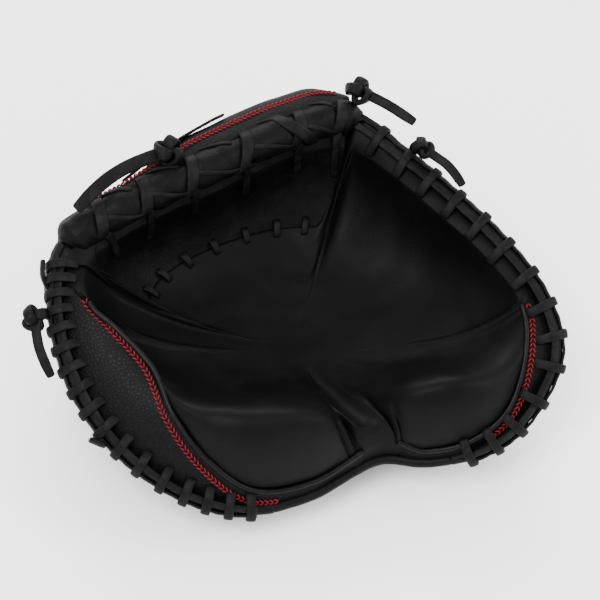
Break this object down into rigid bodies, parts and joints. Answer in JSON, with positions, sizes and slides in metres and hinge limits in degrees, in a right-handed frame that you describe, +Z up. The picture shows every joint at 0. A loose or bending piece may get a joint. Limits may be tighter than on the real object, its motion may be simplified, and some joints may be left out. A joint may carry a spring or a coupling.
{
  "type": "catcher's mitt",
  "caption": "Left-hand catcher's mitt in black leather, lying open on its back: padded palm, closed web, laced rim and a fold from heel to web.",
  "frame": {"origin": "middle of the mitt's outline, on the surface that it lies on", "axes": "+Z up out of the pocket, +Y from the heel to the web, +X from the thumb to the little finger"},
  "size_m": [0.3046, 0.2273, 0.1534],
  "materials": {
    "back_leather": "smooth hide with fine creases, satin",
    "binding": "folded binding strip, satin",
    "felt": "pressed wool felt",
    "gusset_leather": "pebbled hide, satin",
    "lace": "rawhide lace, waxed, satin",
    "lining": "soft unfinished deerskin, matt",
    "palm_leather": "smooth oiled steerhide, soft sheen",
    "piping": "rolled piping, satin",
    "web_leather": "smooth hide, satin"
  },
  "bodies": {
    "finger_half": {"crown_knot": "lace", "crown_lace_tail": "lace", "finger_back_lining": "lining", "finger_back_panel": "back_leather", "finger_binding": "binding", "finger_edge_laces": "lace", "finger_gusset": "gusset_leather", "finger_heel_pad": "felt", "finger_pad": "felt", "finger_piping": "piping", "finger_rim_knot": "lace", "finger_rim_lace_tail": "lace", "finger_rim_lacing": "lace", "heel_binding": "binding", "palm_leather": "palm_leather", "palm_lining": "lining", "pinky_loop": "lining", "strap_laces": "lace", "web_back_panel": "web_leather", "web_base_lacing": "lace", "web_front_panel": "web_leather", "web_knot": "lace", "web_lace_tail": "lace", "web_roll": "web_leather", "web_roll_wraps": "web_leather", "wrist_strap": "back_leather", "wrist_strap_lining": "lining"},
    "thumb_half": {"thumb_pad": "felt", "thumb_heel_pad": "felt", "thumb_back_panel": "back_leather", "thumb_back_lining": "lining", "thumb_gusset": "gusset_leather", "thumb_piping": "piping", "thumb_binding": "binding", "thumb_rim_lacing": "lace", "thumb_edge_laces": "lace", "thumb_loop": "lining", "thumb_rim_knot": "lace", "thumb_rim_lace_tail": "lace", "thumb_lace_ends": "lace"}
  },
  "joints": [
    {"name": "mitt_fold", "type": "hinge", "parent": "finger_half", "child": "thumb_half", "pos_m": [0.0216, -0.0864, 0.034], "axis": [-0.2774, 0.9511, 0.1359], "range_deg": [0, 30], "stiffness_Nm_per_rad": 2, "deforming": ["palm_leather", "palm_lining", "web_front_panel", "web_back_panel", "web_roll", "web_roll_wraps", "web_base_lacing", "heel_binding", "wrist_strap", "wrist_strap_lining", "strap_laces", "web_knot", "web_lace_tail"]}
  ]
}
